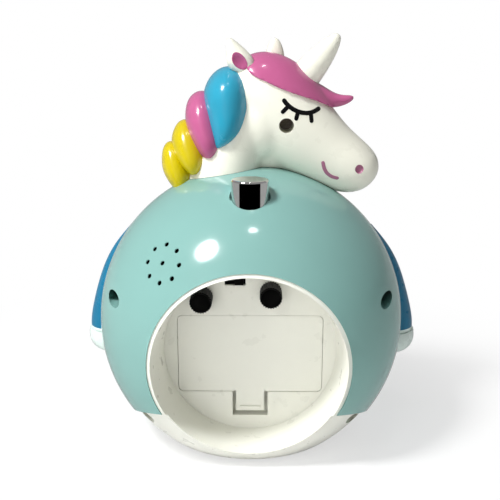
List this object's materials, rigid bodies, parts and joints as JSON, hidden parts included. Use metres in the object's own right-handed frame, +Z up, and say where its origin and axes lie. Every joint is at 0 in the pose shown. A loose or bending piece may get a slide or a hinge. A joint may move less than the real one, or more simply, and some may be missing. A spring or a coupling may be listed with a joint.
{
  "type": "alarm clock",
  "caption": "Unicorn alarm clock with night light: a ball-shaped case with a horse head, round dial in front, cup-shaped battery recess behind and a chrome snooze button.",
  "frame": {"origin": "on the table under the middle of the ball-shaped body", "axes": "+Z up, the dial faces -Y, the battery recess faces +Y, the unicorn's nose points to -X"},
  "size_m": [0.148, 0.1038, 0.1677],
  "materials": {
    "aqua_gloss": "gloss moulded ABS, aqua",
    "white_case": "satin moulded ABS, white",
    "white_gloss": "gloss moulded ABS, white",
    "head_white": "gloss moulded ABS, warm white, painted face",
    "grey_foam": "closed-cell foam pad",
    "clear_lens": "clear acrylic",
    "dial_card": "printed dial",
    "frosted_ring": "frosted light guide",
    "led_clear": "clear LED bodies",
    "black_case": "black moulded plastic",
    "black_plastic": "black knurled plastic",
    "plain_steel": "nickel-plated steel",
    "screw_steel": "zinc-plated steel screws",
    "copper_wire": "enamelled copper winding",
    "cell_wrap": "plain cell wrap",
    "board_green": "circuit board",
    "pink_gloss": "gloss moulded, rose pink",
    "blue_gloss": "gloss moulded, sky blue",
    "yellow_gloss": "gloss moulded, yellow",
    "leg_blue": "gloss moulded, deep blue",
    "hoof_white": "gloss moulded, pale white",
    "chrome_plate": "chrome-plated button",
    "gear_white": "acetal wheels",
    "hand_black": "black painted hands",
    "hand_pink": "pink painted hand",
    "hand_aqua": "aqua painted hand"
  },
  "bodies": {
    "case": {"front_shell": "aqua_gloss", "rear_shell": "aqua_gloss", "rear_housing": "white_case", "base_pad": "grey_foam", "bezel": "white_gloss", "lens": "clear_lens", "dial": "dial_card", "light_ring": "frosted_ring", "light_leds": "led_clear", "chassis": "white_case", "movement_tray": "black_case", "movement_plate": "black_case", "stator": "plain_steel", "coil": "copper_wire", "battery_cells": "cell_wrap", "battery_plates": "plain_steel", "battery_springs": "plain_steel", "main_board": "board_green", "slide_switch": "black_case", "sounder": "black_case", "snooze_board": "board_green", "snooze_switch": "black_case", "snooze_spring": "plain_steel", "case_screws": "screw_steel", "inner_screws": "screw_steel", "small_screws": "screw_steel", "head_front": "head_white", "head_rear": "head_white", "forelock": "pink_gloss", "horn": "head_white", "rear_ear": "head_white", "front_ear": "head_white", "mane_blue": "blue_gloss", "mane_pink": "pink_gloss", "mane_yellow_high": "yellow_gloss", "mane_yellow_low": "yellow_gloss", "foreleg_right": "leg_blue", "foreleg_left": "leg_blue", "hoof_right": "hoof_white", "hoof_left": "hoof_white"},
    "door": {"battery_door": "white_case"},
    "button": {"snooze_button": "chrome_plate"},
    "switch": {"slide_knob": "black_plastic"},
    "minute": {"centre_wheel": "gear_white", "minute_hand": "hand_black"},
    "second": {"second_wheel": "gear_white", "second_hand": "hand_pink"},
    "third": {"third_wheel": "gear_white"},
    "motion": {"minute_wheel": "gear_white"},
    "hour": {"hour_wheel": "gear_white", "hour_hand": "hand_black"},
    "time_setting": {"time_arbor": "black_plastic", "time_knob": "black_plastic"},
    "middle": {"middle_wheel": "gear_white"},
    "rotor": {"rotor": "gear_white"},
    "alarm": {"alarm_wheel": "gear_white", "alarm_hand": "hand_aqua"},
    "idler": {"alarm_idler": "gear_white"},
    "alarm_setting": {"alarm_arbor": "black_plastic", "alarm_knob": "black_plastic"}
  },
  "joints": [
    {"name": "battery_door_hinge", "type": "hinge", "parent": "case", "child": "door", "pos_m": [0, 0.027, 0.0582], "axis": [1, 0, 0], "range_deg": [0, 25]},
    {"name": "snooze_button_press", "type": "slide", "parent": "case", "child": "button", "axis": [0, 0, -1], "range_m": [0, 0.002], "stiffness_N_per_m": 300, "springref_m": -0.002, "deforming": ["snooze_spring"]},
    {"name": "alarm_switch_slide", "type": "slide", "parent": "case", "child": "switch", "axis": [1, 0, 0], "range_m": [0, 0.0032]},
    {"name": "minute_hand_turn", "type": "hinge", "parent": "case", "child": "minute", "pos_m": [0, 0, 0.05], "axis": [0, 1, 0], "continuous": true},
    {"name": "second_hand_turn", "type": "hinge", "parent": "case", "child": "second", "pos_m": [0, 0, 0.05], "axis": [0, 1, 0], "continuous": true},
    {"name": "third_wheel_turn", "type": "hinge", "parent": "case", "child": "third", "pos_m": [0.0115, 0, 0.04581], "axis": [0, 1, 0], "continuous": true},
    {"name": "motion_wheel_turn", "type": "hinge", "parent": "case", "child": "motion", "pos_m": [-0.00955, 0, 0.05727], "axis": [0, 1, 0], "continuous": true},
    {"name": "hour_hand_turn", "type": "hinge", "parent": "case", "child": "hour", "pos_m": [0, 0, 0.05], "axis": [0, 1, 0], "continuous": true},
    {"name": "time_knob_turn", "type": "hinge", "parent": "case", "child": "time_setting", "pos_m": [-0.0083, 0, 0.0687], "axis": [0, 1, 0], "continuous": true},
    {"name": "middle_wheel_turn", "type": "hinge", "parent": "case", "child": "middle", "pos_m": [-0.00836, 0, 0.04415], "axis": [0, 1, 0], "continuous": true},
    {"name": "rotor_turn", "type": "hinge", "parent": "case", "child": "rotor", "pos_m": [-0.00836, 0, 0.03515], "axis": [0, 1, 0], "continuous": true},
    {"name": "alarm_hand_turn", "type": "hinge", "parent": "case", "child": "alarm", "pos_m": [0, 0, 0.05], "axis": [0, 1, 0], "continuous": true},
    {"name": "alarm_idler_turn", "type": "hinge", "parent": "case", "child": "idler", "pos_m": [0.01624, 0, 0.05653], "axis": [0, 1, 0], "continuous": true},
    {"name": "alarm_knob_turn", "type": "hinge", "parent": "case", "child": "alarm_setting", "pos_m": [0.0192, 0, 0.0666], "axis": [0, 1, 0], "continuous": true}
  ],
  "couplings": [
    {"joint": "second_hand_turn", "follows": "minute_hand_turn", "ratio": 60},
    {"joint": "third_wheel_turn", "follows": "minute_hand_turn", "ratio": -8},
    {"joint": "motion_wheel_turn", "follows": "minute_hand_turn", "ratio": -0.33333},
    {"joint": "hour_hand_turn", "follows": "minute_hand_turn", "ratio": 0.083333},
    {"joint": "time_knob_turn", "follows": "minute_hand_turn", "ratio": 1.2},
    {"joint": "middle_wheel_turn", "follows": "minute_hand_turn", "ratio": -450},
    {"joint": "rotor_turn", "follows": "minute_hand_turn", "ratio": 1800},
    {"joint": "alarm_idler_turn", "follows": "alarm_hand_turn", "ratio": -1.3333},
    {"joint": "alarm_knob_turn", "follows": "alarm_hand_turn", "ratio": 3.3333}
  ]
}
